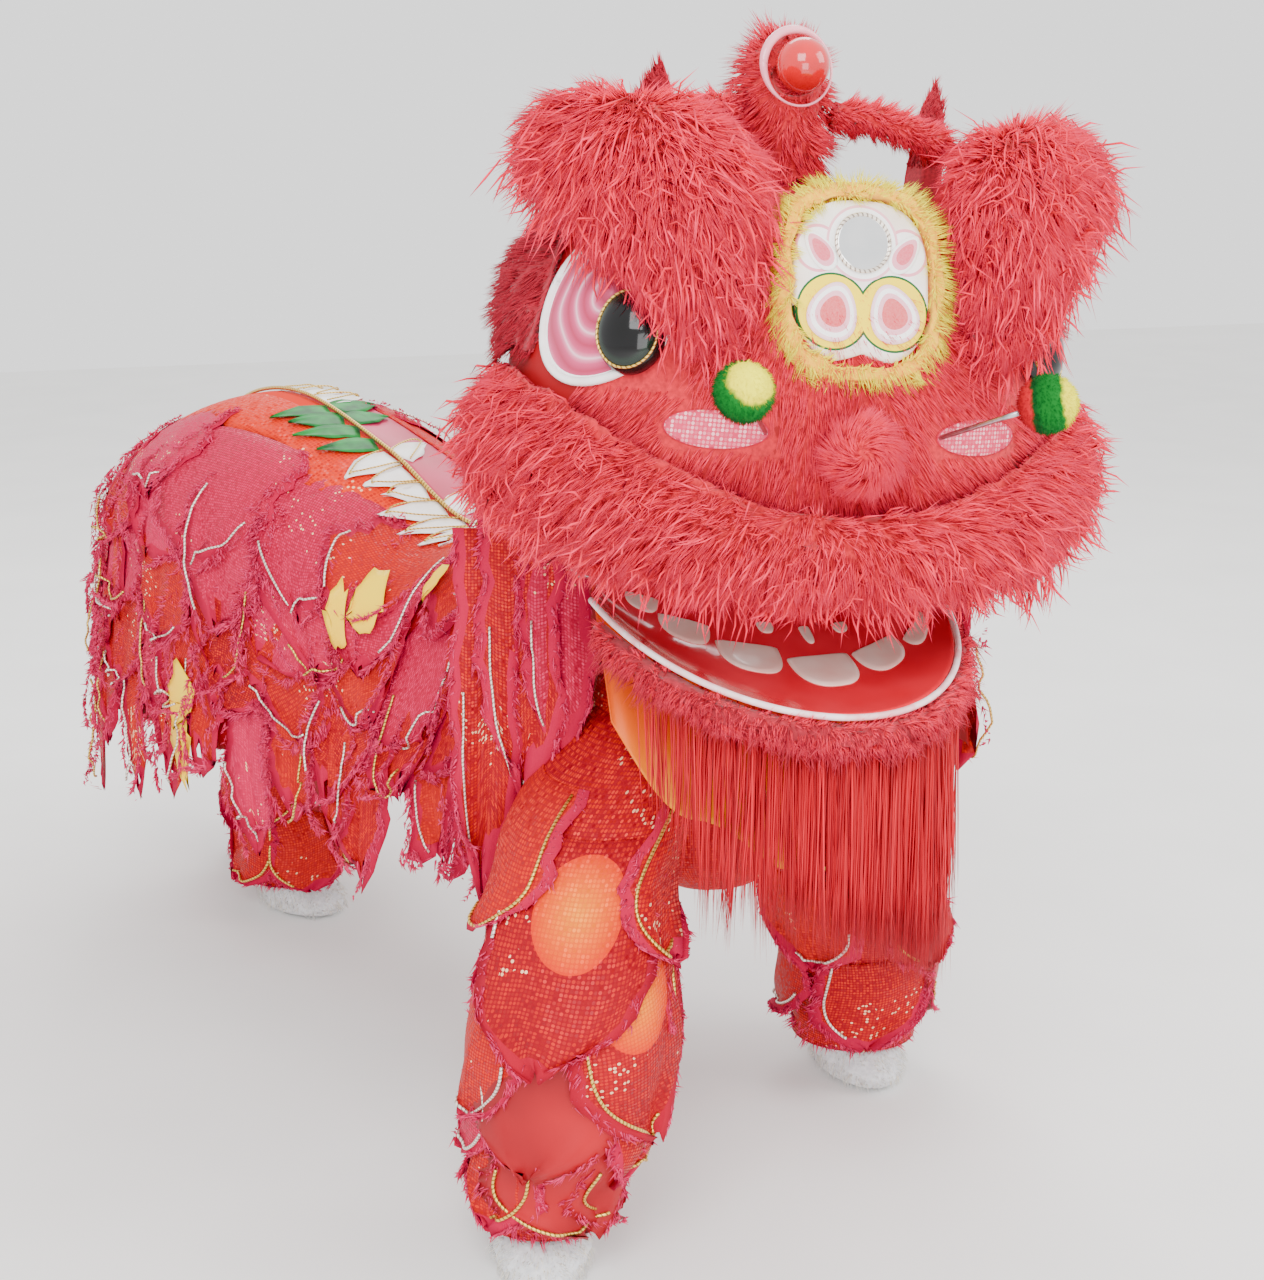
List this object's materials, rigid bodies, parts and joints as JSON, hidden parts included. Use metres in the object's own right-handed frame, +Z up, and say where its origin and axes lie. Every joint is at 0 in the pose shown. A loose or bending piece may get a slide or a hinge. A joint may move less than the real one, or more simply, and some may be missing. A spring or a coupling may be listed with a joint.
{
  "type": "lion dance costume",
  "caption": "Lion dance costume in its worn shape: furred head with hinged jaw and beard, flapped body cloth, furred trousers and paw covers, hollow inside.",
  "frame": {"origin": "middle of the carrying bar inside the head, where the front wearer holds it up", "axes": "+Z up, the head faces -Y, the lion's right side is -X and the body trails away towards +Y and -X; the soles of the paw covers are at z = -1.02 m"},
  "size_m": [1.2277, 1.9056, 1.5236],
  "materials": {
    "shell_red": "matte",
    "bar_bamboo": "satin",
    "hanger_wire": "satin",
    "red_fur": "long soft fur",
    "crimson_fur": "short fur",
    "eye_socket_pink": "satin",
    "eyeball_black": "gloss",
    "sequin_mesh": "sequins",
    "pompom_green": "cut wool",
    "rod_silver": "bright",
    "plate_cream": "satin",
    "yellow_fur": "short fur",
    "mirror_glass": "mirror",
    "petal_red": "satin",
    "bulb_red": "gloss",
    "rim_pink": "satin",
    "jaw_gloss_red": "gloss",
    "white_piping": "satin",
    "beard_hair": "straight hair",
    "cape_cloth": "satin",
    "flap_cloth": "sequin mesh with wool edges",
    "flame_green": "satin",
    "bib_satin": "satin",
    "trouser_cloth": "sequin mesh with wool edges",
    "paw_fur": "fur",
    "brace_webbing": "woven"
  },
  "bodies": {
    "head_and_body": {"head_shell": "shell_red", "carry_bar": "bar_bamboo", "jaw_hanger": "hanger_wire", "muzzle_fur": "red_fur", "nose": "red_fur", "brow_fur_R": "red_fur", "brow_fur_L": "red_fur", "horn": "red_fur", "boa_R": "red_fur", "boa_L": "red_fur", "cheek_fur_R": "crimson_fur", "cheek_fur_L": "crimson_fur", "ear_R": "crimson_fur", "ear_L": "crimson_fur", "eye_panel_R": "eye_socket_pink", "eye_panel_L": "eye_socket_pink", "eyeball_R": "eyeball_black", "eyeball_L": "eyeball_black", "nose_patch_R": "sequin_mesh", "nose_patch_L": "sequin_mesh", "pompom_R": "pompom_green", "pompom_L": "pompom_green", "pompom_rod_R": "rod_silver", "pompom_rod_L": "rod_silver", "forehead_plate": "plate_cream", "forehead_fur": "yellow_fur", "forehead_mirror": "mirror_glass", "petal_upper_R": "petal_red", "petal_upper_L": "petal_red", "petal_lower_R": "petal_red", "petal_lower_L": "petal_red", "horn_bulb": "bulb_red", "horn_rim": "rim_pink", "cape_cloth": "cape_cloth", "cape_flaps_R1": "flap_cloth", "cape_flaps_R2": "flap_cloth", "cape_flaps_R3": "flap_cloth", "cape_flaps_L1": "flap_cloth", "cape_flaps_L2": "flap_cloth", "cape_flaps_L3": "flap_cloth", "cape_spine": "flame_green", "chest_bib": "bib_satin", "front_trousers": "trouser_cloth", "hind_trousers": "trouser_cloth", "paw_front_R": "paw_fur", "paw_front_L": "paw_fur", "paw_hind_R": "paw_fur", "paw_hind_L": "paw_fur", "brace_front_R": "brace_webbing", "brace_front_L": "brace_webbing", "brace_hind_R": "brace_webbing", "brace_hind_L": "brace_webbing"},
    "jaw": {"jaw_tray": "jaw_gloss_red", "jaw_piping": "white_piping", "jaw_fur": "crimson_fur", "beard": "beard_hair"}
  },
  "joints": [
    {"name": "jaw_hinge", "type": "hinge", "parent": "head_and_body", "child": "jaw", "pos_m": [-0.01452, 0.04, -0.18443], "axis": [-0.9969, 0, 0.0785], "range_deg": [0, 12]}
  ]
}
